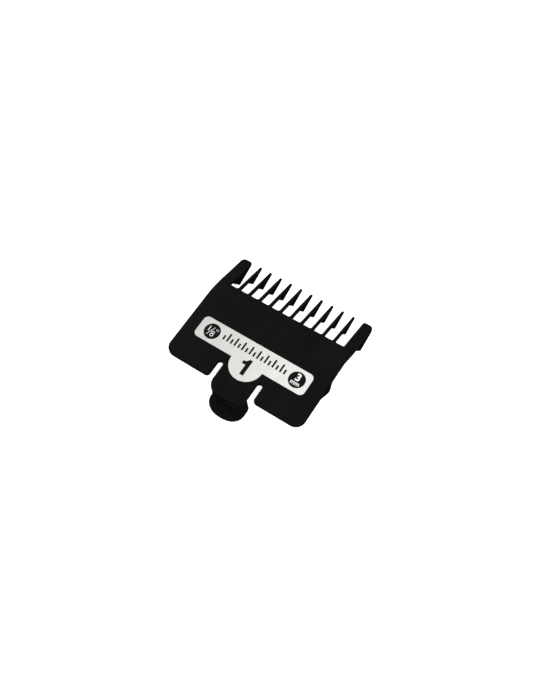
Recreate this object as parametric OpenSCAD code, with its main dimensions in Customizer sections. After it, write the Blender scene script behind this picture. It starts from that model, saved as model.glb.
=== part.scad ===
// Clip-on guard comb for a hair clipper blade, cutting length 3 mm.
// Frame: X across the teeth, Y towards the tooth tips, Z up out of the label face.
// Lengths along Y are given from the rear edge of the plate (rear = 0), depths along Z from the
// label face (face = 0), and the module place() moves the whole comb into its frame.

/* [Plate] */
// Width of the plate across the side edges
plate_w = 48; // [46:0.5:52]
// Wall thickness of the plate
plate_t = 1.35; // [1.2:0.05:1.6]
// Rear edge of the plate to the line where the front apron bends down
bend_y = 24.75; // [24:0.25:26]
// Rear edge of the plate to the roots of the teeth
root_y = 29.7; // [29:0.1:30.5]
// Downward slope of the apron and of the teeth, in degrees
apron_angle = 18.3; // [15:0.1:20]
// Corner radius at the outer rear corners
rear_corner_r = 3.2; // [1.5:0.1:4.5]
// Corner radius beside the latch slots
slot_corner_r = 1.2; // [0.4:0.1:2]

/* [Teeth] */
// Spacing of the teeth
tooth_pitch = 3.826; // [3.7:0.01:3.9]
// Thickness of a tooth at its root
tooth_root_w = 0.86; // [0.7:0.02:1]
// Thickness of a tooth at its tip
tooth_tip_w = 0.78; // [0.5:0.02:0.84]
// Height of the thin bar between the root and the step
tooth_bar_h = 1.28; // [1.1:0.02:1.4]
// Rear edge to the upper end of the step that stops the blade
tooth_step_y = 34.2; // [33.5:0.1:34.6]
// Rear edge to the lowest corner of a tooth
tooth_corner_y = 36.15; // [35.8:0.05:37]
// Depth of the lowest corner of a tooth
tooth_corner_depth = 7.9; // [7:0.05:8.2]
// Rear edge to the end of a tooth tip
tooth_tip_y = 41.85; // [41:0.05:41.9]
// Radius of a tooth tip
tooth_tip_r = 0.38; // [0.2:0.01:0.4]

/* [Side ears] */
// Width of an ear
ear_w = 3.55; // [3:0.05:3.7]
// How much further out an ear stands than the side of the plate
ear_flare = 0.22; // [0:0.02:0.4]
// Rear edge to the upper end of the ear's step
ear_step_y = 31.1; // [31:0.1:32]
// Rear edge to the lowest corner of an ear
ear_corner_y = 34.1; // [34:0.05:35]
// Rear edge to the end of an ear
ear_tip_y = 41.95; // [41.9:0.05:42.5]
// Height of the ear's rounded front end
ear_nose_h = 0.9; // [0.8:0.05:1.2]
// Corner radius of the ear's front end, outer side
ear_outer_r = 1.5; // [1:0.1:1.8]
// Corner radius of the ear's front end, inner side
ear_inner_r = 0.9; // [0.5:0.1:1.4]

/* [Side lugs] */
// Thickness of a lug
lug_t = 1.3; // [1:0.05:1.5]
// Depth of a lug's lowest point
lug_depth = 5.05; // [4.5:0.05:5.5]
// Radius of a lug's rounded bottom
lug_r = 1.1; // [0.9:0.05:1.2]
// Rear edge to the centre of a lug's rounded bottom
lug_y = 15.95; // [15:0.05:17]
// Length of a lug's slope behind its rounded bottom
lug_rear = 4.4; // [3.8:0.1:5]
// Length of a lug's slope in front of its rounded bottom
lug_front = 1.85; // [1.6:0.05:2.4]

/* [Latch] */
// Half the width of the flexing tongue
tongue_half_w = 6.1; // [5.7:0.02:6.2]
// Width of the slots beside the tongue
slot_w = 1.8; // [1.6:0.01:2]
// Length of the slots from the rear edge of the plate
slot_len = 5.9; // [5.6:0.1:6]
// Rear edge to the line where the tongue flexes
flex_y = 2.5; // [2.3:0.05:2.6]
// Gap in the seat around the tongue's rounded root
root_gap = 0.05; // [0.03:0.01:0.08]
// How far the hook wall stands behind the rear edge of the plate
hook_out = 3.23; // [3.15:0.01:3.5]
// Thickness of the hook wall
hook_t = 1.4; // [1.2:0.05:1.5]
// Corner radius of the hook wall and of the tongue's tail
hook_corner_r = 3.1; // [2.4:0.05:3.1]
// Depth of the thumb tab's upper face
tab_depth = 7.1; // [6.8:0.05:7.2]
// Depth of the plane on which the comb rests
rest_depth = 8.7; // [8.4:0.05:8.8]
// How far the thumb tab reaches behind the rear edge of the plate
tab_out = 6.8; // [6:0.05:7.5]
// Half the width of the thumb tab
tab_half_w = 6; // [5.6:0.05:6.05]
// How far behind the rear edge of the plate the oval end of the thumb tab begins
tab_oval_y = 2.2; // [1.5:0.1:3]
// Radius of the round dimple on the thumb tab
dimple_r = 0.95; // [0.6:0.05:1.2]
// Depth of the dimple
dimple_depth = 0.3; // [0.1:0.05:0.4]
// How far the catch reaches under the heel of the blade
catch_reach = 0.9; // [0.6:0.05:1.1]
// Depth of the catch face that the heel of the blade sits on
catch_depth = 5.9; // [5.5:0.05:6.1]
// How far the rib across the hook wall stands out
rib_out = 0.35; // [0.2:0.05:0.5]
// Depth of the middle of that rib
rib_depth = 3.65; // [3.3:0.05:4]
// How far behind the rear edge of the plate that rib begins
rib_start = 2.3; // [2:0.1:2.6]

/* [Label] */
// Length of the label bar
label_w = 38.9; // [36:0.02:40]
// How far the label bar lies to the left of the middle of the comb
label_shift = 0.3; // [-0.5:0.05:0.5]
// Width of the label bar
label_h = 7.46; // [7:0.02:8]
// Corner radius of the label bar
label_r = 1.53; // [1:0.01:2]
// Rear edge to the middle of the label bar
label_y = 12.6; // [12.4:0.05:12.8]
// Radius of the round lobe
lobe_r = 5.45; // [5:0.01:5.5]
// Rear edge to the centre of the lobe
lobe_y = 8.87; // [8.8:0.01:9]
// Thickness of the label foil
label_t = 0.15; // [0.12:0.01:0.2]
// Depth of the recess that the label lies in
label_recess = 0.1; // [0.05:0.01:0.1]
// Radius of the two round badges
badge_r = 2.63; // [2.4:0.01:2.8]
// Distance of a badge from the middle of the comb
badge_x = 15.12; // [14.5:0.01:15.5]
// Thickness of the printed ink film
ink_t = 0.03; // [0.02:0.01:0.05]
// Height of the numeral in the lobe
numeral_h = 5.45; // [4:0.05:5.6]
// Number of strokes in the length scale between the badges
scale_strokes = 17; // [9:2:19]

/* [Hidden] */
$fn = 64;
TOOTH_NODES = ["tooth_01", "tooth_02", "tooth_03", "tooth_04", "tooth_05",
               "tooth_06", "tooth_07", "tooth_08", "tooth_09", "tooth_10"];
tooth_count = len(TOOTH_NODES);

plastic = [0.07, 0.07, 0.085];
foil = [0.92, 0.92, 0.90];
ink = [0.06, 0.05, 0.05];

slope = tan(apron_angle);
apron_h = plate_t / cos(apron_angle);
slot_r = slot_w / 2;
slot_x = tongue_half_w + slot_r;
slot_centre_y = slot_len - slot_r;
wing_x = tongue_half_w + slot_w;
seat_x = plate_w / 2 - lug_t;
ear_x = plate_w / 2 + ear_flare;
ear_inner_x = plate_w / 2 + ear_flare - ear_w;
nose_r = ear_nose_h / 2;
flex_z = -plate_t / 2;
tail_corner_x = tongue_half_w - hook_corner_r;
tail_corner_y = hook_corner_r - hook_out;
label_top = label_t - label_recess;
centre_y = (ear_tip_y - tab_out) / 2;

// Height of the apron's and the teeth's upper face at a distance from the rear edge
function top_z(y) = -(y - bend_y) * slope;

// Points on an arc about a centre, from one angle to another
function arc(centre, r, from, to) =
    [for (i = [0 : 6]) centre + r * [cos(from + (to - from) * i / 6), sin(from + (to - from) * i / 6)]];

// Angle from a circle's centre to where the line from an outside point touches it
function tangent_angle(centre, r, point, side) =
    atan2(point[1] - centre[1], point[0] - centre[0]) + side * acos(r / norm(point - centre));

// Widens a cosine or a sine, so that an ellipse becomes a fuller oval
function full(share) = sign(share) * pow(abs(share), 0.87);

// Moves the comb from its rear edge and label face to the frame of the part
module place() {
    translate([0, -centre_y, rest_depth]) children();
}

// A Y-Z outline, drawn as [y, z] points, made solid between two X positions
module across(x0, x1) {
    translate([x0, 0, 0]) rotate([90, 0, 90]) linear_extrude(x1 - x0) children();
}

// An X-Y outline made solid between two heights
module upright(z0, z1) {
    translate([0, 0, z0]) linear_extrude(z1 - z0) children();
}

module round_bar(w, h, r) {
    polygon(concat(arc([w / 2 - r, h / 2 - r], r, 0, 90),
                   arc([r - w / 2, h / 2 - r], r, 90, 180),
                   arc([r - w / 2, r - h / 2], r, 180, 270),
                   arc([w / 2 - r, r - h / 2], r, 270, 360)));
}

module label_outline() {
    translate([-label_shift, label_y]) round_bar(label_w, label_h, label_r);
    translate([0, lobe_y]) circle(lobe_r);
}

// The label as one outline with sharp corners where the lobe meets the bar
module label_solid(z0, z1) {
    upright(z0, z1) union() label_outline();
}

// The middle of the plate, whose flat underside between the side lugs seats the blade
module center_plate() {
    color(plastic) place() difference() {
        upright(-plate_t, 0) difference() {
            translate([-seat_x, slot_centre_y]) square([2 * seat_x, bend_y - slot_centre_y]);
            for (side = [-1, 1]) translate([side * slot_x, slot_centre_y]) circle(slot_r);
        }
        label_solid(-label_recess, 1);
    }
}

// The side edge of the plate, which carries a lug
module side_rail_right() {
    color(plastic) place() upright(-plate_t, 0)
        translate([seat_x, slot_centre_y]) square([lug_t, bend_y - slot_centre_y]);
}

module side_rail_left() {
    mirror([1, 0, 0]) side_rail_right();
}

module wing_right() {
    outer = plate_w / 2;
    color(plastic) place() upright(-plate_t, 0)
        polygon(concat([[wing_x, slot_centre_y]],
                       arc([wing_x + slot_corner_r, slot_corner_r], slot_corner_r, 180, 270),
                       arc([outer - rear_corner_r, rear_corner_r], rear_corner_r, 270, 360),
                       [[outer, slot_centre_y]]));
}

module wing_left() {
    mirror([1, 0, 0]) wing_right();
}

// The sloping front of the plate, which widens a little towards the ears
module front_apron() {
    color(plastic) place() intersection() {
        across(-ear_x, ear_x)
            polygon([[bend_y, 0], [root_y, top_z(root_y)], [root_y, top_z(root_y) - apron_h],
                     [bend_y, -plate_t]]);
        upright(-rest_depth, 1)
            polygon([[-plate_w / 2, bend_y], [plate_w / 2, bend_y], [ear_x, root_y],
                     [-ear_x, root_y]]);
    }
}

// Side view of a fin: thin bar, step down to the corner, then a lower edge up to a round tip
module fin_outline(bar_h, step_y, corner, tip_y, tip_r) {
    tip = [tip_y - tip_r, top_z(tip_y - tip_r) - tip_r / cos(apron_angle)];
    polygon(concat([[root_y, top_z(root_y)]],
                   arc(tip, tip_r, 90 - apron_angle, tangent_angle(tip, tip_r, corner, 1)),
                   [corner, [step_y, top_z(step_y) - bar_h], [root_y, top_z(root_y) - bar_h]]));
}

module tooth(index) {
    x = (index - (tooth_count - 1) / 2) * tooth_pitch;
    root = tooth_root_w / 2;
    tip = tooth_tip_w / 2;
    color(plastic) place() intersection() {
        across(x - root, x + root)
            fin_outline(tooth_bar_h, tooth_step_y, [tooth_corner_y, -tooth_corner_depth],
                        tooth_tip_y, tooth_tip_r);
        upright(-rest_depth, 1)
            polygon([[x - root, root_y], [x + root, root_y],
                     [x + tip, tooth_tip_y], [x - tip, tooth_tip_y]]);
    }
}

module ear_right() {
    color(plastic) place() intersection() {
        across(ear_inner_x, ear_x)
            fin_outline(apron_h, ear_step_y, [ear_corner_y, -rest_depth], ear_tip_y, nose_r);
        upright(-rest_depth - 1, 1)
            polygon(concat([[ear_inner_x, root_y], [ear_x, root_y]],
                           arc([ear_x - ear_outer_r, ear_tip_y - ear_outer_r], ear_outer_r, 0, 90),
                           arc([ear_inner_x + ear_inner_r, ear_tip_y - ear_inner_r],
                               ear_inner_r, 90, 180)));
    }
}

module ear_left() {
    mirror([1, 0, 0]) ear_right();
}

module side_lug_right() {
    bottom = [lug_y, lug_r - lug_depth];
    rear = [lug_y - lug_rear, -plate_t];
    front = [lug_y + lug_front, -plate_t];
    color(plastic) place() across(seat_x, plate_w / 2)
        polygon(concat([front, rear],
                       arc(bottom, lug_r, tangent_angle(bottom, lug_r, rear, 1),
                           tangent_angle(bottom, lug_r, front, -1) + 360)));
}

module side_lug_left() {
    mirror([1, 0, 0]) side_lug_right();
}

module latch_root() {
    color(plastic) place() difference() {
        upright(-plate_t, 0)
            translate([-tongue_half_w, flex_y]) square([2 * tongue_half_w, slot_centre_y - flex_y]);
        label_solid(-label_recess, 1);
        translate([-tongue_half_w - 1, flex_y, flex_z]) rotate([0, 90, 0])
            cylinder(r = plate_t / 2 + root_gap, h = 2 * tongue_half_w + 2);
        translate([-tongue_half_w - 1, flex_y - 1, -plate_t - 1])
            cube([2 * tongue_half_w + 2, 1 + root_gap, plate_t + 2]);
    }
}

module size_label() {
    color(foil) place() label_solid(-label_recess, label_top);
}

module ink_film() {
    color(ink) place() upright(label_top, label_top + ink_t) children();
}

module badge_inch() {
    ink_film() translate([-badge_x, label_y]) circle(badge_r);
}

module badge_metric() {
    ink_film() translate([badge_x, label_y]) circle(badge_r);
}

// The figure 1 in the lobe: an upright stem with a short square flag
module size_numeral() {
    half = numeral_h / 2;
    stem = numeral_h * 0.12;
    ink_film() translate([0.33, lobe_y - 0.81])
        polygon([[-stem, -half], [stem, -half], [stem, half], [-stem * 0.6, half],
                 [-stem * 0.8, half * 0.87], [-stem * 1.7, half * 0.62], [-stem * 3, half * 0.59],
                 [-stem * 3, half * 0.22], [-stem, half * 0.22]]);
}

// A row of strokes that stands for the length scale, every second one long
module length_scale() {
    pitch = (2 * (badge_x - badge_r) - 2) / scale_strokes;
    ink_film() for (i = [0 : scale_strokes - 1])
        translate([(i - scale_strokes / 2 + 0.28) * pitch, label_y - 0.55])
            square([pitch * 0.44, 1.6 + 1.2 * (i % 2)]);
}

// The tail of the tongue from above, with its outer edge moved out by a margin
module tail_outline(front_y, margin = 0) {
    r = hook_corner_r + margin;
    half_w = tongue_half_w + margin;
    polygon(concat([[half_w, front_y], [-half_w, front_y]],
                   arc([-tail_corner_x, tail_corner_y], r, 180, 270),
                   arc([tail_corner_x, tail_corner_y], r, 270, 360)));
}

module latch_tongue() {
    color(plastic) place() {
        upright(-plate_t, 0) tail_outline(flex_y);
        translate([-tongue_half_w, flex_y, flex_z]) rotate([0, 90, 0])
            cylinder(d = plate_t, h = 2 * tongue_half_w);
    }
}

// The U-shaped wall that hangs from the tail of the tongue
module hook_wall() {
    color(plastic) place() upright(-tab_depth, -plate_t) difference() {
        tail_outline(0);
        tail_outline(1, -hook_t);
    }
}

// A low rib that runs around the back of the hook wall
module hook_rib() {
    color(plastic) place() upright(-rib_depth - rib_out, -rib_depth + rib_out) difference() {
        tail_outline(0, rib_out);
        tail_outline(1);
        translate([-plate_w / 2, -rib_start]) square([plate_w, plate_w]);
    }
}

module blade_catch() {
    back = hook_t - hook_out;
    color(plastic) place() across(-tail_corner_x, tail_corner_x)
        polygon([[back, -tab_depth], [catch_reach / 2, -tab_depth],
                 [catch_reach, -catch_depth - 0.4], [catch_reach, -catch_depth],
                 [back, -catch_depth]]);
}

module thumb_tab() {
    oval = [for (i = [0 : 24]) [tab_half_w * full(cos(180 + i * 7.5)),
                                (tab_out - tab_oval_y) * full(sin(180 + i * 7.5)) - tab_oval_y]];
    front_r = 0.8;
    color(plastic) place() difference() {
        upright(-rest_depth, -tab_depth)
            polygon(concat(arc([tab_half_w - front_r, -front_r], front_r, 0, 90),
                           arc([front_r - tab_half_w, -front_r], front_r, 90, 180),
                           oval));
        translate([0, (-hook_out - tab_out) / 2, -tab_depth - dimple_depth])
            cylinder(r = dimple_r, h = 1);
    }
}

center_plate();
side_rail_left();
side_rail_right();
wing_left();
wing_right();
front_apron();
tooth(0);  // tooth_01
tooth(1);  // tooth_02
tooth(2);  // tooth_03
tooth(3);  // tooth_04
tooth(4);  // tooth_05
tooth(5);  // tooth_06
tooth(6);  // tooth_07
tooth(7);  // tooth_08
tooth(8);  // tooth_09
tooth(9);  // tooth_10
ear_left();
ear_right();
side_lug_left();
side_lug_right();
latch_root();
size_label();
badge_inch();
badge_metric();
size_numeral();
length_scale();
latch_tongue();
hook_wall();
hook_rib();
blade_catch();
thumb_tab();
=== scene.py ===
"""Looks of a clip-on guard comb for a hair clipper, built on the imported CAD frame.

Lengths are metres in the CAD frame: X across the teeth, Y towards the tooth tips, Z up out of
the label. Places come from the CAD nodes' boxes; shapes that a box can't tell are named in mm.
"""

import math

import bmesh
import bpy
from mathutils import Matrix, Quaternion, Vector


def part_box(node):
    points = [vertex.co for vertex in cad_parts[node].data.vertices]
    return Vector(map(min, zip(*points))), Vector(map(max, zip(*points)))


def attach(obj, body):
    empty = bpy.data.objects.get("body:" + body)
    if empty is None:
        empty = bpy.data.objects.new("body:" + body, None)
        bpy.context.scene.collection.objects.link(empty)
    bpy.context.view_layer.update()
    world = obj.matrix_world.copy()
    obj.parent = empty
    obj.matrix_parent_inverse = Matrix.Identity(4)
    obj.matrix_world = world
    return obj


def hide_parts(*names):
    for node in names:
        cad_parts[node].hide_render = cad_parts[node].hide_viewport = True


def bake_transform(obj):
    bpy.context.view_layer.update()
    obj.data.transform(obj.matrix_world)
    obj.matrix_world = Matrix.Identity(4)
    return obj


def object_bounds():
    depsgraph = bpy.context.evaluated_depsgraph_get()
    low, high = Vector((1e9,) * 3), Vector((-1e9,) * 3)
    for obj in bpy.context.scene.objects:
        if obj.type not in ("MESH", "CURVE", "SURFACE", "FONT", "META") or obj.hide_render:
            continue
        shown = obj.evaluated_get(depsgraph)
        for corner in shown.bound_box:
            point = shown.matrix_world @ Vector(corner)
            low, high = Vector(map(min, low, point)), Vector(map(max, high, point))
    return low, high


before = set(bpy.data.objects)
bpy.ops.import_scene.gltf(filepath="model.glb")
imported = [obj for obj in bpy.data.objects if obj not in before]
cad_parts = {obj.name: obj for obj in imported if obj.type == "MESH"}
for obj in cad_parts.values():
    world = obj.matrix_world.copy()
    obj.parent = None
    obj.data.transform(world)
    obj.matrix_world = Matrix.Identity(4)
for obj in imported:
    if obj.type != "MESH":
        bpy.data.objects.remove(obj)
cad_low, cad_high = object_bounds()

MM = 0.001
HAIR = 0.004 * MM  # how far a face lies inside the skin of the piece that it runs into

# ---------------------------------------------------------------- places, from the CAD nodes
SEAT_LOW, SEAT_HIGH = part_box("center_plate")
RAIL_LOW, RAIL_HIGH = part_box("side_rail_right")
WING_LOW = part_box("wing_right")[0]
APRON_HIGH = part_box("front_apron")[1]
TONGUE_LOW, TONGUE_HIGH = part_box("latch_tongue")
WALL_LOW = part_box("hook_wall")[0]
RIB_LOW, RIB_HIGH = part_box("hook_rib")
CATCH_LOW, CATCH_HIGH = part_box("blade_catch")
TAB_LOW, TAB_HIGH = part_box("thumb_tab")
LABEL_LOW, LABEL_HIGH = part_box("size_label")
TOOTH_NODES = sorted(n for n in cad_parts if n.startswith("tooth_"))

FACE_Z = RAIL_HIGH.z
PLATE_T = RAIL_HIGH.z - RAIL_LOW.z
REAR_Y = WING_LOW.y
SLOT_Y = SEAT_LOW.y
BEND_Y = SEAT_HIGH.y
ROOT_Y = APRON_HIGH.y
HALF_W = RAIL_HIGH.x
EAR_X = APRON_HIGH.x
WING_X = WING_LOW.x
TONGUE_X = TONGUE_HIGH.x
SLOT_X = (WING_X + TONGUE_X) / 2
SLOT_R = (WING_X - TONGUE_X) / 2
SEAM_Y = LABEL_LOW.y - 0.2 * MM  # where the flexing tongue joins the plate
FLEX_END_Y = REAR_Y + 0.2 * MM  # behind this line the tongue moves as one with its hook

# ---------------------------------------------------------------- shapes, by name
APRON_SLOPE = math.tan(math.radians(18.3))
APRON_H = PLATE_T * math.sqrt(1 + APRON_SLOPE**2)
BEND_SOFT = 1.1 * MM  # half the length over which the apron's bend is rounded
RIM = 0.2 * MM  # rounding of the moulding's edges
REAR_CORNER_R = 3.2 * MM
SLOT_CORNER_R = 1.2 * MM
ROOT_FILLET = 0.42 * MM
ROOT_INSIDE = 0.6 * MM  # length of a tooth or an ear that lies inside the apron

TOOTH_BAR_H = 1.28 * MM
TOOTH_STEP_Y = REAR_Y + 34.2 * MM
TOOTH_CORNER_Y = REAR_Y + 36.15 * MM
TOOTH_TIP_W = 0.78 * MM
TOOTH_TIP_R = 0.38 * MM
TOOTH_NOSE = 0.26 * MM  # length over which a tip is rounded, seen from above
TOOTH_RIM = 0.13 * MM
TOOTH_FILLETS = [0.28 * MM, 0.26 * MM]  # inside the step, and at the deep corner

EAR_STEP_Y = REAR_Y + 31.1 * MM
EAR_CORNER_Y = REAR_Y + 34.1 * MM
EAR_NOSE_R = 0.45 * MM
EAR_OUTER_R = 1.5 * MM
EAR_INNER_R = 0.9 * MM
EAR_FILLETS = [0.5 * MM, 0.35 * MM]

LUG_REAR = 4.4 * MM
LUG_FRONT = 1.85 * MM
LUG_R = 1.1 * MM
LUG_FILLET = 0.9 * MM

TAIL_R = 3.1 * MM
TAIL_RIM = 0.9 * MM  # how far down the tongue's rear end is rounded
TAIL_STRETCH = 2.3  # how many times further in than down that rounding reaches
TAIL_RUN = 2.2 * MM  # length over which the rim grows to that rounding
HOOK_T = 1.4 * MM
HOOK_END_R = 0.25 * MM
HOOK_FOOT = 0.5 * MM  # fillet between the wall and the thumb tab
HOOK_FOOT_Y = REAR_Y - 1.2 * MM  # where that fillet begins
BEAD_DEPTH = 0.5 * MM  # how far the bead's mesh reaches into the wall
BEAD_FADE = 9  # points of the outline over which the bead fades out
CATCH_R = 0.1 * MM
CATCH_LIP = 0.4 * MM  # height of the catch shelf's front edge
TAB_OVAL_Y = REAR_Y - 2.2 * MM  # where the oval end of the tab begins
TAB_FULLNESS = 0.87  # below 1 the oval is fuller than an ellipse
TAB_FRONT_R = 0.8 * MM
TAB_RIM = 0.38 * MM
DIMPLE_R = 0.95 * MM
DIMPLE_DEPTH = 0.3 * MM
DIMPLE_LIP = 0.14 * MM

LABEL_H = 7.46 * MM
LABEL_R = 1.53 * MM
LOBE_R = 5.45 * MM
LABEL_GROOVE = 0.05 * MM
LABEL_RECESS = 0.1 * MM
RECESS_LIP = 0.03 * MM
INK_T = 0.015 * MM
FIGURE_T = 0.012 * MM
SCALE_STROKES = 17
STROKE_SHARE = 0.44  # of the pitch from stroke to stroke
SHORT_BY = 1.2 * MM  # how much shorter every second stroke is

VIEW_TURN, VIEW_LIFT, VIEW_ROLL = 40.894, 63.283, -8.222  # degrees
VIEW_AIM = Vector((1.007 * MM, 0.350 * MM, FACE_Z))
VIEW_DISTANCE = 231.6 * MM
VIEW_LENS = 40.843  # millimetres, on a sensor 36 wide


# ---------------------------------------------------------------- outlines
def arc(centre, radius, start, end, steps=10):
    """Points on an arc about centre, with angles in degrees."""
    turns = [math.radians(start + (end - start) * i / steps) for i in range(steps + 1)]
    return [Vector((centre[0] + radius * math.cos(a), centre[1] + radius * math.sin(a)))
            for a in turns]


def rounded(points, radii, steps=6):
    """A run of points whose inner corners are rounded, each by its own radius."""
    path = [Vector(points[0])]
    for before, corner, after, radius in zip(points, points[1:], points[2:], radii):
        corner = Vector(corner)
        back = (Vector(before) - corner).normalized()
        ahead = (Vector(after) - corner).normalized()
        half = back.angle(ahead) / 2
        reach = radius / math.tan(half)
        centre = corner + (back + ahead).normalized() * (radius / math.sin(half))
        start, end = corner + back * reach - centre, corner + ahead * reach - centre
        turn = math.degrees(math.atan2(start.y, start.x))
        sweep = math.degrees(math.atan2(start.x * end.y - start.y * end.x, start.dot(end)))
        path += arc(centre, radius, turn, turn + sweep, steps)
    return path + [Vector(points[-1])]


def inward(outline, seam_y=None):
    """How each point of a counter-clockwise outline moves for one unit of inset.

    Points on the seam slide along it, so that two pieces keep the same section there.
    """
    moves = []
    for i, point in enumerate(outline):
        before = (point - outline[i - 1]).normalized()
        after = (outline[(i + 1) % len(outline)] - point).normalized()
        n1, n2 = Vector((-before.y, before.x)), Vector((-after.y, after.x))
        move = (n1 + n2) / max(0.2, 1 + n1.dot(n2))
        if seam_y is not None and abs(point.y - seam_y) < HAIR:
            move = Vector((-math.copysign(1, point.x), 0))
        moves.append(move)
    return moves


def plate_outline():
    """The plate from above: ears' root line, sides, rear corners, slots and the tongue's stub."""
    right_wing = (
        arc((SLOT_X, SLOT_Y), SLOT_R, 180, 0, 14)
        + arc((WING_X + SLOT_CORNER_R, REAR_Y + SLOT_CORNER_R), SLOT_CORNER_R, 180, 270, 8)
        + arc((HALF_W - REAR_CORNER_R, REAR_Y + REAR_CORNER_R), REAR_CORNER_R, 270, 360, 14)
        + [Vector((HALF_W, BEND_Y)), Vector((EAR_X, ROOT_Y))])
    right = [Vector((TONGUE_X, SEAM_Y))] + right_wing
    return right + [Vector((-p.x, p.y)) for p in reversed(right)]


def tail_line(margin=0.0):
    """The tongue's tail and the hook wall below it, from the left side round to the right."""
    left = arc((TAIL_R - TONGUE_X, TONGUE_LOW.y + TAIL_R), TAIL_R + margin, 180, 270, 14)
    return left + [Vector((-p.x, p.y)) for p in reversed(left)]


def label_outline(margin=0.0):
    """The label bar with its round lobe, moved out by a margin."""
    high, low = LABEL_HIGH.y + margin, LABEL_HIGH.y - LABEL_H - margin
    right_x, left_x = LABEL_HIGH.x + margin, LABEL_LOW.x - margin
    lobe_y, lobe_r = LABEL_LOW.y + LOBE_R, LOBE_R + margin
    corner = LABEL_R + margin
    lift = math.degrees(math.asin((low - lobe_y) / lobe_r))
    return (arc((0, lobe_y), lobe_r, 180 - lift, 360 + lift, 48)
            + arc((right_x - corner, low + corner), corner, 270, 360, 8)
            + arc((right_x - corner, high - corner), corner, 0, 90, 8)
            + arc((left_x + corner, high - corner), corner, 90, 180, 8)
            + arc((left_x + corner, low + corner), corner, 180, 270, 8))


# ---------------------------------------------------------------- mesh building
def ring(bm, outline, moves, inset_and_level, place):
    """One loop of vertices: the outline, inset and raised as the function says for each point."""
    verts = []
    for point, move in zip(outline, moves):
        inset, level = inset_and_level(point)
        moved = point + move * inset
        verts.append(bm.verts.new(place(moved.x, moved.y, level)))
    return verts


def band(bm, lower, upper):
    """Quads between two loops of the same length."""
    count = len(lower)
    for i in range(count):
        j = (i + 1) % count
        bm.faces.new((lower[i], lower[j], upper[j], upper[i]))


def fill(bm, loops):
    """Closes the flat region inside the first loop and outside the others."""
    edges = []
    for loop in loops:
        for a, b in zip(loop, loop[1:] + loop[:1]):
            edges.append(bm.edges.get((a, b)) or bm.edges.new((a, b)))
    bmesh.ops.triangle_fill(bm, use_beauty=True, use_dissolve=False, edges=edges)


def as_function(value):
    """A plain value as a function that gives it at every point."""
    return value if callable(value) else lambda point: value


def rim_rings(low, high, rim_low, rim_high, steps=5, stretch=1.0):
    """Rings of a flat piece from its lower face, round both rims, to its upper face.

    A stretch above 1 makes the upper rim reach further in than down.
    """
    low_r, high_r = as_function(rim_low), as_function(rim_high)
    wide = as_function(stretch)
    rings = []
    for i in range(steps + 1):
        turn = math.pi / 2 * i / steps
        rings.append(lambda p, t=turn: (low_r(p) * (1 - math.sin(t)),
                                        low + low_r(p) * (1 - math.cos(t))))
    for i in range(steps + 1):
        turn = math.pi / 2 * i / steps
        rings.append(lambda p, t=turn: (high_r(p) * wide(p) * (1 - math.cos(t)),
                                        high - high_r(p) * (1 - math.sin(t))))
    return rings


def flat(x, y, level):
    """Places a point of an outline seen from above."""
    return (x, y, level)


def sideways(y, z, level):
    """Places a point of an outline seen from the right side."""
    return (level, y, z)


def build(outline, rings, place=flat, seam_y=None, sunk=()):
    """A closed mesh through the rings. Each sunk outline leaves a shallow round-edged hollow."""
    bm = bmesh.new()
    moves = inward(outline, seam_y)
    loops = [ring(bm, outline, moves, r, place) for r in rings]
    for lower, upper in zip(loops, loops[1:]):
        band(bm, lower, upper)
    fill(bm, [loops[0]])
    fill(bm, [loops[-1]] + [hollow(bm, *s) for s in sunk])
    return bm


def hollow(bm, outline, level, depth, lip):
    """A shallow hollow below a level, with a rounded lip. Returns its upper loop."""
    moves = inward(outline)
    steps = [(0, 0), (lip * 0.3, -lip * 0.05), (lip * 0.7, -lip * 0.3), (lip * 0.95, -lip * 0.7),
             (lip, -depth)]
    loops = [ring(bm, outline, moves, lambda p, s=s: (s[0], level + s[1]), flat) for s in steps]
    for upper, lower in zip(loops, loops[1:]):
        band(bm, lower, upper)
    fill(bm, [loops[-1]])
    return loops[0]


def slice_mesh(bm, levels):
    """Cuts every face at these Y positions, so that the mesh can bend there."""
    for y in levels:
        bmesh.ops.bisect_plane(bm, geom=bm.verts[:] + bm.edges[:] + bm.faces[:], dist=1e-8,
                               plane_co=(0, y, 0), plane_no=(0, 1, 0))


def finish_mesh(bm, name, material, body, nodes=()):
    """Makes the object: smooth, with the large flat faces setting the shading."""
    bmesh.ops.remove_doubles(bm, verts=bm.verts, dist=1e-7)
    bmesh.ops.recalc_face_normals(bm, faces=bm.faces)
    mesh = bpy.data.meshes.new(name)
    bm.to_mesh(mesh)
    bm.free()
    mesh.shade_smooth()
    piece = bpy.data.objects.new(name, mesh)
    bpy.context.scene.collection.objects.link(piece)
    mesh.materials.append(material)
    shading = piece.modifiers.new("flat_faces_first", "WEIGHTED_NORMAL")
    shading.weight = 90
    shading.keep_sharp = True
    if body:
        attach(piece, body)
    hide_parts(*nodes)
    return piece


# ---------------------------------------------------------------- materials
def nodes_of(name):
    """A new material with its node tree and its shader."""
    material = bpy.data.materials.new(name)
    material.use_nodes = True
    tree = material.node_tree
    return material, tree, tree.nodes["Principled BSDF"]


def noise(tree, scale_mm, detail, stretch=(1, 1, 1), turn=0):
    """Noise in the object's own space, with features of about this size."""
    where = tree.nodes.new("ShaderNodeTexCoord")
    mapping = tree.nodes.new("ShaderNodeMapping")
    mapping.inputs["Rotation"].default_value = (0, 0, math.radians(turn))
    mapping.inputs["Scale"].default_value = stretch
    texture = tree.nodes.new("ShaderNodeTexNoise")
    texture.inputs["Scale"].default_value = 1 / (scale_mm * MM)
    texture.inputs["Detail"].default_value = detail
    tree.links.new(where.outputs["Object"], mapping.inputs["Vector"])
    tree.links.new(mapping.outputs["Vector"], texture.inputs["Vector"])
    return texture.outputs["Fac"]


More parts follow.
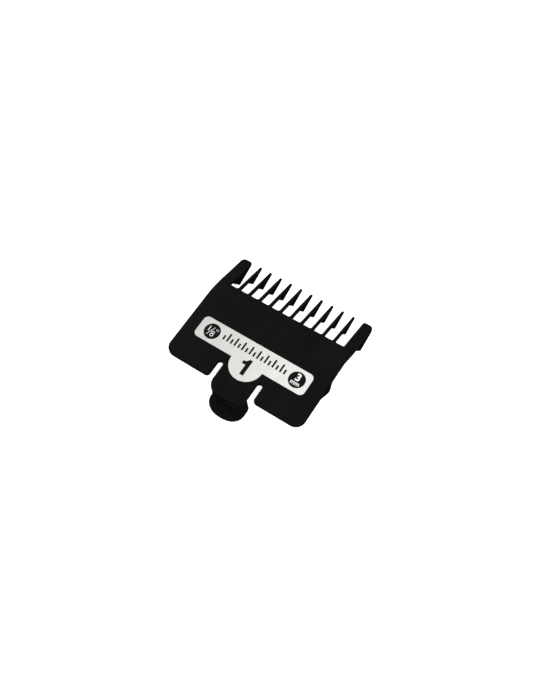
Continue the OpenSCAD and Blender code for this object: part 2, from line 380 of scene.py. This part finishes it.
def spread(tree, factor, low, high, start=0.3, end=0.7):
    """Maps a noise to a range of values."""
    node = tree.nodes.new("ShaderNodeMapRange")
    node.inputs["From Min"].default_value = start
    node.inputs["From Max"].default_value = end
    node.inputs["To Min"].default_value = low
    node.inputs["To Max"].default_value = high
    tree.links.new(factor, node.inputs["Value"])
    return node.outputs["Result"]


def tint(tree, factor, dark, light, start=0.3, end=0.7):
    """Maps a noise to a colour between two."""
    ramp = tree.nodes.new("ShaderNodeValToRGB")
    ramp.color_ramp.elements[0].position = start
    ramp.color_ramp.elements[1].position = end
    ramp.color_ramp.elements[0].color = (*dark, 1)
    ramp.color_ramp.elements[1].color = (*light, 1)
    tree.links.new(factor, ramp.inputs["Fac"])
    return ramp.outputs["Color"]


def bump(tree, shader, heights):
    """Adds bumps, each a (noise, height in mm), one on top of the other."""
    normal = None
    for factor, height_mm in heights:
        node = tree.nodes.new("ShaderNodeBump")
        node.inputs["Strength"].default_value = 1.0
        node.inputs["Distance"].default_value = height_mm * MM
        tree.links.new(factor, node.inputs["Height"])
        if normal:
            tree.links.new(normal, node.inputs["Normal"])
        normal = node.outputs["Normal"]
    tree.links.new(normal, shader.inputs["Normal"])


def comb_plastic():
    """Satin black moulded plastic: fine spark-eroded grain, faint flow clouds, a soft gloss."""
    material, tree, shader = nodes_of("comb_plastic")
    clouds = noise(tree, 9, 3, (1, 0.45, 1))
    grain = noise(tree, 0.16, 4)
    wave = noise(tree, 5, 2)
    colour = tint(tree, clouds, (0.0030, 0.0030, 0.0036), (0.0046, 0.0046, 0.0055))
    tree.links.new(colour, shader.inputs["Base Color"])
    tree.links.new(spread(tree, grain, 0.40, 0.52), shader.inputs["Roughness"])
    bump(tree, shader, [(wave, 0.012), (grain, 0.0035)])
    shader.inputs["Specular IOR Level"].default_value = 0.42
    return material


def label_foil():
    """Pearl white foil: a fine slanted grain, and a painted sheen, its base colour made lighter
    towards its right end.
    """
    material, tree, shader = nodes_of("label_foil")
    grain = noise(tree, 0.13, 5, (1, 0.35, 1), 35)
    clouds = noise(tree, 2.2, 3, (1, 0.3, 1), 35)
    where = tree.nodes.new("ShaderNodeTexCoord")
    split = tree.nodes.new("ShaderNodeSeparateXYZ")
    tree.links.new(where.outputs["Object"], split.inputs["Vector"])
    # Painted sheen: the base colour grows lighter along X towards the label's right end, standing
    # in for light falling there.
    along = spread(tree, split.outputs["X"], 0.05, 0.95, LABEL_LOW.x, LABEL_HIGH.x)
    tone_and_painted_sheen = tree.nodes.new("ShaderNodeMath")
    tone_and_painted_sheen.operation = "MULTIPLY_ADD"
    tone_and_painted_sheen.inputs[1].default_value = 0.14
    tree.links.new(spread(tree, clouds, -1, 1), tone_and_painted_sheen.inputs[0])
    tree.links.new(along, tone_and_painted_sheen.inputs[2])
    colour = tint(tree, tone_and_painted_sheen.outputs["Value"], (0.62, 0.64, 0.60), (0.85, 0.85, 0.81), 0, 1)
    tree.links.new(colour, shader.inputs["Base Color"])
    tree.links.new(spread(tree, grain, 0.30, 0.46), shader.inputs["Roughness"])
    bump(tree, shader, [(grain, 0.004)])
    shader.inputs["Metallic"].default_value = 0.2
    return material


def printed(name, dark, light):
    """Screen-printed ink with a slight mottle."""
    material, tree, shader = nodes_of(name)
    mottle = noise(tree, 0.35, 4)
    tree.links.new(tint(tree, mottle, dark, light), shader.inputs["Base Color"])
    tree.links.new(spread(tree, mottle, 0.42, 0.6), shader.inputs["Roughness"])
    bump(tree, shader, [(mottle, 0.003)])
    return material


PLASTIC = comb_plastic()
FOIL = label_foil()
INK = printed("label_ink", (0.0042, 0.0036, 0.0034), (0.0084, 0.0073, 0.0070))
WHITE_INK = printed("label_white_ink", (0.74, 0.75, 0.73), (0.82, 0.83, 0.81))


# ---------------------------------------------------------------- plate
def top_drop(y):
    """How far the upper face lies below the label face, and its slope there."""
    along = y - (BEND_Y - BEND_SOFT)
    if along <= 0:
        return 0.0, 0.0
    if along >= 2 * BEND_SOFT:
        return (y - BEND_Y) * APRON_SLOPE, APRON_SLOPE
    return APRON_SLOPE * along**2 / (4 * BEND_SOFT), APRON_SLOPE * along / (2 * BEND_SOFT)


def bend_apron(bm):
    """Turns the front of the flat plate down along a rounded bend."""
    slice_mesh(bm, [BEND_Y + BEND_SOFT * (i / 5 - 1) for i in range(11)])
    for vert in bm.verts:
        drop, slope = top_drop(vert.co.y)
        depth = FACE_Z - vert.co.z
        vert.co.z = FACE_Z - drop - depth * math.sqrt(1 + slope**2)


def plate_shell():
    """The plate with its wings, its apron and the recess for the label, in one skin."""
    rings = rim_rings(FACE_Z - PLATE_T, FACE_Z, RIM, RIM)
    recess = (label_outline(LABEL_GROOVE), FACE_Z, LABEL_RECESS, RECESS_LIP)
    bm = build(plate_outline(), rings, seam_y=SEAM_Y, sunk=[recess])
    bend_apron(bm)
    return finish_mesh(bm, "plate_shell", PLASTIC, "comb",
                       ("center_plate", "side_rail_left", "side_rail_right", "wing_left",
                        "wing_right", "front_apron", "latch_root"))


def side_lug(side):
    """The rounded lug that hangs from one side edge, with its top inside the plate."""
    name = "side_lug_right" if side > 0 else "side_lug_left"
    low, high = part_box(name)
    lug_y, bottom_z = low.y + LUG_REAR, low.z + LUG_R
    under, inside = FACE_Z - PLATE_T + HAIR, FACE_Z - PLATE_T / 2
    rear, front = lug_y - LUG_REAR, lug_y + LUG_FRONT

    def touch(y):
        """Angle at which the slope from the plate's underside meets the round bottom."""
        dy, dz = y - lug_y, under - bottom_z
        turn = math.acos(LUG_R / math.hypot(dy, dz))
        return math.degrees(math.atan2(dz, dy) + math.copysign(turn, -dy))

    left = rounded([(rear - 2 * LUG_FILLET, under), (rear, under),
                    tuple(arc((lug_y, bottom_z), LUG_R, touch(rear), 0, 1)[0])], [LUG_FILLET])
    right = rounded([tuple(arc((lug_y, bottom_z), LUG_R, touch(front), 0, 1)[0]),
                     (front, under), (front + 2 * LUG_FILLET, under)], [LUG_FILLET])
    round_bottom = arc((lug_y, bottom_z), LUG_R, touch(rear) % 360, touch(front) % 360, 12)
    top = [Vector((front + 2 * LUG_FILLET, inside)), Vector((rear - 2 * LUG_FILLET, inside))]
    outline = left[:-1] + round_bottom + right[1:] + top
    outer = HALF_W + HAIR
    inner = low.x if side > 0 else -high.x
    rings = rim_rings(inner, outer, RIM * 0.8, RIM * 0.8)
    bm = build(outline, rings, place=lambda y, z, x: (x * side, y, z))
    return finish_mesh(bm, name + "_shell", PLASTIC, "comb", (name,))


# ---------------------------------------------------------------- teeth and ears
def apron_z(y):
    """Height of the upper face of the apron, the teeth and the ears."""
    return FACE_Z - (y - BEND_Y) * APRON_SLOPE


def level_at(path, y):
    """Height of a run of points at a Y position."""
    for a, b in zip(path, path[1:]):
        if a.x <= y <= b.x and b.x > a.x:
            return a.y + (b.y - a.y) * (y - a.x) / (b.x - a.x)
    return path[-1].y


def fin_lines(bar_h, step_y, corner, tip_y, tip_r, fillets):
    """Upper and lower line of a fin from the side, both ending in the middle of its round tip."""
    start = ROOT_Y - ROOT_INSIDE
    centre = Vector((tip_y - tip_r, apron_z(tip_y - tip_r) - tip_r * APRON_H / PLATE_T))
    to_corner = Vector(corner) - centre
    touch = math.degrees(math.atan2(to_corner.y, to_corner.x) + math.acos(
        tip_r / to_corner.length))
    lean = math.degrees(math.atan(APRON_SLOPE))
    upper = [Vector((start, apron_z(start)))] + arc(centre, tip_r, 90 - lean, 0, 8)
    last = arc(centre, tip_r, touch, 0, 10)
    lower = rounded([(start, apron_z(start) - bar_h), (step_y, apron_z(step_y) - bar_h), corner,
                     tuple(last[0])], fillets)
    return upper, lower[:-1] + last


def section(bm, y, x0, x1, z0, z1, radius):
    """A rounded rectangle across the fin."""
    steps = 4
    radius = max(1e-6, min(radius, 0.48 * (x1 - x0), 0.48 * (z1 - z0)))
    corners = [(x1 - radius, z1 - radius, 0), (x0 + radius, z1 - radius, 90),
               (x0 + radius, z0 + radius, 180), (x1 - radius, z0 + radius, 270)]
    points = [p for x, z, turn in corners for p in arc((x, z), radius, turn, turn + 90, steps)]
    return [bm.verts.new((p.x, y, p.y)) for p in points]


def fin(lines, sides, radius, stations):
    """A closed mesh through sections at each station; sides gives the left and right there."""
    upper, lower = lines
    bm = bmesh.new()
    loops = []
    for y in stations:
        x0, x1 = sides(y)
        loops.append(section(bm, y, x0, x1, level_at(lower, y), level_at(upper, y), radius))
    for near, far in zip(loops, loops[1:]):
        band(bm, near, far)
    bm.faces.new(loops[0])
    bm.faces.new(loops[-1])
    return bm


def stations_for(lines, tip_y):
    """Where a fin needs sections: at its root fillet, at every bend of its lines and its tip."""
    fillet = [ROOT_Y + ROOT_FILLET * (1 - math.cos(math.pi / 2 * i / 6)) for i in range(7)]
    bends = [p.x for line in lines for p in line]
    end = tip_y - 0.003 * MM
    levels = sorted(y for y in fillet + bends + [end] if y <= end)
    kept = levels[:1]
    for y in levels[1:]:
        if y - kept[-1] > 0.004 * MM:
            kept.append(y)
    return kept[:-1] + [end]


def root_flare(y):
    """Extra half width where a fin grows out of the apron's front edge."""
    if y <= ROOT_Y:
        return ROOT_FILLET
    rest = max(0.0, ROOT_FILLET - (y - ROOT_Y))
    return ROOT_FILLET - math.sqrt(ROOT_FILLET**2 - rest**2)


def corner_cut(y, tip_y, radius):
    """How far a rounded front corner, seen from above, cuts in from the side."""
    past = max(0.0, y - (tip_y - radius))
    return radius - math.sqrt(max(0.0, radius**2 - past**2))


def tooth(name):
    """One tooth: a thin bar behind, a step, and a deep fin that narrows to a round tip."""
    low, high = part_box(name)
    middle, half_root = (low.x + high.x) / 2, (high.x - low.x) / 2
    half_tip = TOOTH_TIP_W / 2
    lines = fin_lines(TOOTH_BAR_H, TOOTH_STEP_Y, (TOOTH_CORNER_Y, low.z), high.y, TOOTH_TIP_R,
                      TOOTH_FILLETS)

    def sides(y):
        share = max(0.0, (y - low.y) / (high.y - low.y))
        half = half_root + (half_tip - half_root) * share + root_flare(y)
        half -= corner_cut(y, high.y, TOOTH_NOSE)
        return middle - half, middle + half

    stations = stations_for(lines, high.y)
    stations += [high.y - TOOTH_NOSE * (1 - math.sin(math.pi / 2 * i / 6)) for i in range(6)]
    bm = fin(lines, sides, TOOTH_RIM, sorted(set(stations)))
    bmesh.ops.translate(bm, verts=bm.verts, vec=(0, 0, -HAIR))
    return finish_mesh(bm, name + "_blade", PLASTIC, "comb", (name,))


def ear(side):
    """The broad end tooth on one side. It is shaped on the right and mirrored to the left."""
    name = "ear_right" if side > 0 else "ear_left"
    low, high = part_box(name)
    outer, inner = (high.x, low.x) if side > 0 else (-low.x, -high.x)
    lines = fin_lines(APRON_H - 2 * HAIR, EAR_STEP_Y, (EAR_CORNER_Y, low.z), high.y, EAR_NOSE_R,
                      EAR_FILLETS)
    stations = stations_for(lines, high.y)
    stations += [high.y - EAR_OUTER_R * (1 - math.sin(math.pi / 2 * i / 10)) for i in range(9)]

    def sides(y):
        flare = min(0.0, y - ROOT_Y) * (outer - HALF_W) / (ROOT_Y - BEND_Y)
        far = outer - HAIR + flare - corner_cut(y, high.y, EAR_OUTER_R)
        near = inner - root_flare(y) + corner_cut(y, high.y, EAR_INNER_R)
        return near, far

    bm = fin(lines, sides, RIM, sorted(set(stations)))
    for vert in bm.verts:
        vert.co.x *= side
        vert.co.z -= HAIR
    return finish_mesh(bm, name + "_shell", PLASTIC, "comb", (name,))


# ---------------------------------------------------------------- latch
def latch_tongue():
    """The flexing strip with its rounded tail, sliced into strips between the comb and the latch,
    where it bends.
    """
    def tail_share(point):
        share = min(1.0, max(0.0, (FLEX_END_Y - point.y) / TAIL_RUN))
        return share * share * (3 - 2 * share)

    def top_rim(point):
        return RIM + (TAIL_RIM - RIM) * tail_share(point)

    def top_stretch(point):
        return 1 + (TAIL_STRETCH - 1) * tail_share(point)

    outline = tail_line() + [Vector((TONGUE_X, SEAM_Y)), Vector((-TONGUE_X, SEAM_Y))]
    rings = rim_rings(FACE_Z - PLATE_T, FACE_Z, RIM, top_rim, 8, top_stretch)
    bm = build(outline, rings, seam_y=SEAM_Y)
    slice_mesh(bm, [SEAM_Y + (FLEX_END_Y - SEAM_Y) * i / 14 for i in range(1, 15)])
    piece = finish_mesh(bm, "flexing_tongue", PLASTIC, None, ("latch_tongue",))
    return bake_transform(piece)


def hook_outline():
    """The U-shaped wall from above, its two front ends rounded."""
    outer, inner = tail_line(), tail_line(-HOOK_T)
    right = rounded([tuple(outer[-1]), (TONGUE_X, REAR_Y), (TONGUE_X - HOOK_T, REAR_Y),
                     tuple(inner[-1])], [HOOK_END_R, HOOK_END_R])
    left = [Vector((-p.x, p.y)) for p in reversed(right)]
    return outer[:-1] + right + list(reversed(inner))[1:-1] + left[:-1]


def hook_wall():
    """The wall of the hook, spreading into a fillet where it meets the thumb tab."""
    foot_z, top_z = TAB_HIGH.z, FACE_Z - TAIL_RIM - 0.05 * MM

    def spread_of(point):
        behind = max(0.0, (HOOK_FOOT_Y - point.y) / (HOOK_FOOT_Y - WALL_LOW.y))
        return min(1.0, behind) ** 2 * HOOK_FOOT

    def foot(turn):
        return lambda p: (-spread_of(p) * (1 - math.sin(turn)) - HAIR,
                          foot_z + spread_of(p) * (1 - math.cos(turn)))

    rings = [lambda p: (-spread_of(p) - HAIR, foot_z - 0.3 * MM)]
    rings += [foot(math.pi / 2 * i / 6) for i in range(7)]
    rings += [lambda p: (-HAIR, top_z)]
    bm = build(hook_outline(), rings)
    return finish_mesh(bm, "hook_wall_skin", PLASTIC, "latch", ("hook_wall",))


def hook_rib():
    """A low bead round the back of the wall, fading out at both ends."""
    line = [p for p in tail_line() if p.y <= RIB_HIGH.y + 0.2 * MM]
    back = [Vector((p.x * 0.92, p.y + BEAD_DEPTH)) for p in reversed(line)]
    count = len(line)
    outline = line + back
    order = {(round(p.x, 9), round(p.y, 9)): i for i, p in enumerate(outline)}
    middle = (RIB_LOW.z + RIB_HIGH.z) / 2
    half_h, out = (RIB_HIGH.z - RIB_LOW.z) / 2, TONGUE_LOW.y - RIB_LOW.y

    def bead(turn):
        def at(point):
            i = order[(round(point.x, 9), round(point.y, 9))]
            if i >= count:
                return 0.0, middle + half_h * math.sin(turn)
            from_end = min(i, count - 1 - i) / BEAD_FADE
            fade = math.sin(math.pi * min(1.0, 0.06 + from_end) / 2)
            return -out * math.cos(turn) * fade, middle + half_h * math.sin(turn)
        return at

    bm = build(outline, [bead(math.pi * (i / 10 - 0.5)) for i in range(11)])
    return finish_mesh(bm, "hook_bead", PLASTIC, "latch", ("hook_rib",))


def blade_catch():
    """The shelf inside the hook that holds the heel of the blade, with a sloped underside."""
    low, high = CATCH_LOW, CATCH_HIGH
    middle_y = (high.y + REAR_Y) / 2
    outline = rounded([(low.y, low.z), (middle_y, low.z), (high.y, high.z - CATCH_LIP),
                       (high.y, high.z), (low.y, high.z)], [CATCH_R] * 3)
    rings = rim_rings(low.x, high.x, RIM * 0.7, RIM * 0.7)
    bm = build(outline, rings, place=sideways)
    return finish_mesh(bm, "heel_shelf", PLASTIC, "latch", ("blade_catch",))


def thumb_tab():
    """The oval pad that the thumb lifts, with a shallow dimple in it."""
    half_w, rear, front = TAB_HIGH.x, TAB_LOW.y, TAB_HIGH.y
    turns = [math.radians(i * 90 / 28) for i in range(29)]
    oval = [Vector((half_w * max(0.0, math.sin(t)) ** TAB_FULLNESS,
                    TAB_OVAL_Y - (TAB_OVAL_Y - rear) * max(0.0, math.cos(t)) ** TAB_FULLNESS))
            for t in turns]
    right = oval + arc((half_w - TAB_FRONT_R, front - TAB_FRONT_R), TAB_FRONT_R, 0, 90, 8)
    outline = right + [Vector((-p.x, p.y)) for p in reversed(right[1:])]
    dimple_y = (TONGUE_LOW.y + rear) / 2
    dimple = (arc((0, dimple_y), DIMPLE_R, 0, 360, 48)[:-1], TAB_HIGH.z, DIMPLE_DEPTH,
              DIMPLE_LIP)
    rings = rim_rings(TAB_LOW.z, TAB_HIGH.z, TAB_RIM * 0.7, TAB_RIM, steps=6)
    bm = build(outline, rings, sunk=[dimple])
    return finish_mesh(bm, "thumb_pad", PLASTIC, "latch", ("thumb_tab",))


# ---------------------------------------------------------------- label
def size_label():
    """The foil itself, lying in the plate's recess."""
    rings = rim_rings(LABEL_LOW.z, LABEL_HIGH.z, 0.01 * MM, 0.035 * MM, steps=3)
    bm = build(label_outline(), rings)
    return finish_mesh(bm, "label_plate", FOIL, "comb", ("size_label",))


def film(name, outlines, material, thickness, nodes):
    """Flat prints of one thickness on the label, each from a closed outline."""
    bm = bmesh.new()
    base = LABEL_HIGH.z
    edge = thickness * 0.4
    for outline in outlines:
        moves = inward(outline)
        steps = [(0, base - HAIR), (0, base + thickness - edge), (edge, base + thickness)]
        loops = [ring(bm, outline, moves, lambda p, s=s: s, flat) for s in steps]
        for lower, upper in zip(loops, loops[1:]):
            band(bm, lower, upper)
        fill(bm, [loops[0]])
        fill(bm, [loops[-1]])
    return finish_mesh(bm, name, material, "comb", nodes)


def badge(name):
    """A round badge of ink, as large as its CAD node."""
    low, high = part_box(name)
    centre = (low + high) / 2
    disc = arc(centre, (high.x - low.x) / 2, 0, 360, 96)[:-1]
    return film("printed_" + name, [disc], INK, INK_T, (name,))


def figure(name, text, centre, height, bold, slant=0.0):
    """A printed figure or unit, white, on a badge. Height is that of its capitals."""
    curve = bpy.data.curves.new(name, "FONT")
    curve.body = text
    curve.align_x = "CENTER"
    curve.size = 1.0
    curve.shear = slant
    curve.offset = bold
    curve.resolution_u = 6
    maker = bpy.data.objects.new(name, curve)
    mesh = bpy.data.meshes.new_from_object(maker)
    bpy.data.objects.remove(maker)
    bm = bmesh.new()
    bm.from_mesh(mesh)
    bpy.data.meshes.remove(mesh)
    xs, ys = [v.co.x for v in bm.verts], [v.co.y for v in bm.verts]
    scale = height / (max(ys) - min(ys))
    shift = Vector((-(max(xs) + min(xs)) / 2, -(max(ys) + min(ys)) / 2, 0))
    base = LABEL_HIGH.z + INK_T
    bmesh.ops.remove_doubles(bm, verts=bm.verts, dist=1e-5)
    for vert in bm.verts:
        at = (vert.co + shift) * scale
        vert.co = (centre.x + at.x, centre.y + at.y, base - HAIR)
    grown = bmesh.ops.extrude_face_region(bm, geom=bm.faces[:])
    lifted = [g for g in grown["geom"] if isinstance(g, bmesh.types.BMVert)]
    bmesh.ops.translate(bm, verts=lifted, vec=(0, 0, FIGURE_T + HAIR))
    piece = finish_mesh(bm, name, WHITE_INK, "comb")
    piece.data.set_sharp_from_angle(angle=math.radians(40))
    return piece


def badge_figures():
    """Generic sizes: an eighth of an inch on the left badge, 3 mm on the right one."""
    left = sum(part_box("badge_inch"), Vector()) / 2
    right = sum(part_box("badge_metric"), Vector()) / 2
    figure("figure_one", "1", left + Vector((-1.28, 0.47, 0)) * MM, 1.75 * MM, 0.006)
    figure("figure_slash", "/", left + Vector((-0.46, -0.1, 0)) * MM, 3.1 * MM, -0.014, 0.12)
    figure("figure_eight", "8", left + Vector((0.45, -0.7, 0)) * MM, 1.9 * MM, -0.012)
    figure("inch_mark", "\"", left + Vector((1.3, 0.9, 0)) * MM, 0.75 * MM, -0.02)
    figure("figure_three", "3", right + Vector((0, 0.85, 0)) * MM, 2.5 * MM, 0.03)
    figure("unit_mm", "mm", right + Vector((0, -1.28, 0)) * MM, 0.98 * MM, 0.02)


def size_numeral():
    """The figure 1 in the lobe: an upright stem with a short square flag."""
    low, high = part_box("size_numeral")
    half = (high.y - low.y) / 2
    stem = 2 * half * 0.12
    centre = Vector((high.x - stem, (low.y + high.y) / 2))
    shape = [(-stem, -half), (stem, -half), (stem, half), (-stem * 0.6, half),
             (-stem * 0.8, half * 0.87), (-stem * 1.7, half * 0.62), (-stem * 3, half * 0.59),
             (-stem * 3, half * 0.22), (-stem, half * 0.22)]
    softness = [0.09, 0.09, 0.12, 0.1, 0.3, 0.15, 0.12, 0.1, 0.1]
    outline = rounded([shape[-1], *shape, shape[0]], [r * MM for r in softness], 4)[1:-1]
    return film("printed_numeral", [[p + centre for p in outline]], INK, INK_T,
                ("size_numeral",))


def length_scale():
    """A row of strokes between the badges, in the place of wording."""
    low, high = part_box("length_scale")
    pitch = (high.x - low.x) / (SCALE_STROKES - 1 + STROKE_SHARE)
    strokes = []
    for i in range(SCALE_STROKES):
        x0 = low.x + i * pitch
        x1 = x0 + pitch * STROKE_SHARE
        y1 = high.y if i % 2 else high.y - SHORT_BY
        corners = [(x0, low.y), (x1, low.y), (x1, y1), (x0, y1)]
        strokes.append(rounded([corners[-1], *corners, corners[0]], [0.1 * MM] * 4, 3)[1:-1])
    return film("printed_scale", strokes, INK, INK_T, ("length_scale",))


# ---------------------------------------------------------------- studio
def floor():
    """A pale table top below the comb, slightly uneven, that runs out of every view."""
    size, count = 3.0, 24
    bm = bmesh.new()
    bmesh.ops.create_grid(bm, x_segments=count, y_segments=count, size=size)
    mesh = bpy.data.meshes.new("floor")
    bm.to_mesh(mesh)
    bm.free()
    plane = bpy.data.objects.new("floor", mesh)
    plane.location = (0, 0, cad_low.z - 0.02 * MM)
    bpy.context.scene.collection.objects.link(plane)
    material, tree, shader = nodes_of("pale_table")
    shade = noise(tree, 60, 3)
    tree.links.new(tint(tree, shade, (0.86, 0.86, 0.86), (0.90, 0.90, 0.90)),
                   shader.inputs["Base Color"])
    shader.inputs["Roughness"].default_value = 0.75
    shader.inputs["Specular IOR Level"].default_value = 0.2
    shader.inputs["Emission Color"].default_value = (1, 1, 1, 1)
    shader.inputs["Emission Strength"].default_value = 0.8
    mesh.materials.append(material)
    plane.visible_glossy = False


def direction(azimuth, elevation):
    """Unit vector from the comb, with azimuth 0 behind it and 90 on its right; degrees."""
    turn, lift = math.radians(azimuth), math.radians(elevation)
    return Vector((math.sin(turn) * math.cos(lift), -math.cos(turn) * math.cos(lift),
                   math.sin(lift)))


def softbox(name, azimuth, elevation, distance, size, power, colour=(1, 1, 1), mirrored=True):
    """A square soft light that faces the comb, and that shows in its gloss or doesn't."""
    back = direction(azimuth, elevation)
    light = bpy.data.lights.new(name, "AREA")
    light.shape = "SQUARE"
    light.size = size
    light.energy = power
    light.color = colour
    lamp = bpy.data.objects.new(name, light)
    lamp.location = back * distance
    lamp.visible_glossy = mirrored
    lamp.rotation_mode = "QUATERNION"
    lamp.rotation_quaternion = (-back).to_track_quat("-Z", "Y")
    bpy.context.scene.collection.objects.link(lamp)


def studio():
    """White surroundings and two lamps that aren't mirrored in the comb, and panels that are."""
    world = bpy.data.worlds.new("studio")
    world.use_nodes = True
    background = world.node_tree.nodes["Background"]
    background.inputs["Color"].default_value = (1, 1, 1, 1)
    background.inputs["Strength"].default_value = 0.95
    bpy.context.scene.world = world
    world.cycles_visibility.glossy = False
    bpy.context.scene.view_settings.view_transform = "Standard"
    softbox("key", 70, 50, 0.36, 0.25, 0.50, mirrored=False)
    softbox("fill", 320, 45, 0.60, 0.40, 0.15, mirrored=False)
    softbox("top_panel", 221, 68, 0.60, 0.45, 0.06)
    softbox("blue_panel", 203, 26, 0.60, 0.45, 0.08, (0.68, 0.62, 1.0))
    softbox("rear_panel", 15, 12, 0.60, 0.35, 0.05, (0.75, 0.72, 1.0))
    for side_azimuth, power in ((72, 0.18), (135, 0.25), (250, 0.50), (305, 0.32)):
        softbox(f"side_panel_{side_azimuth}", side_azimuth, 12, 0.60, 0.45, power)


def camera():
    """Looks at the label from above the rear right, a little rolled."""
    back = direction(VIEW_TURN, VIEW_LIFT)
    data = bpy.data.cameras.new("camera")
    data.sensor_width = 36
    data.lens = VIEW_LENS
    data.clip_start, data.clip_end = 0.01, 20
    view = bpy.data.objects.new("camera", data)
    view.location = VIEW_AIM + back * VIEW_DISTANCE
    view.rotation_mode = "QUATERNION"
    roll = Quaternion((0, 0, 1), math.radians(VIEW_ROLL))
    view.rotation_quaternion = (-back).to_track_quat("-Z", "Y") @ roll
    bpy.context.scene.collection.objects.link(view)
    bpy.context.scene.camera = view


plate_shell()
for tooth_name in TOOTH_NODES:
    tooth(tooth_name)
for hand in (1, -1):
    ear(hand)
    side_lug(hand)
latch_tongue()
hook_wall()
hook_rib()
blade_catch()
thumb_tab()
size_label()
badge("badge_inch")
badge("badge_metric")
badge_figures()
size_numeral()
length_scale()
floor()
studio()
camera()
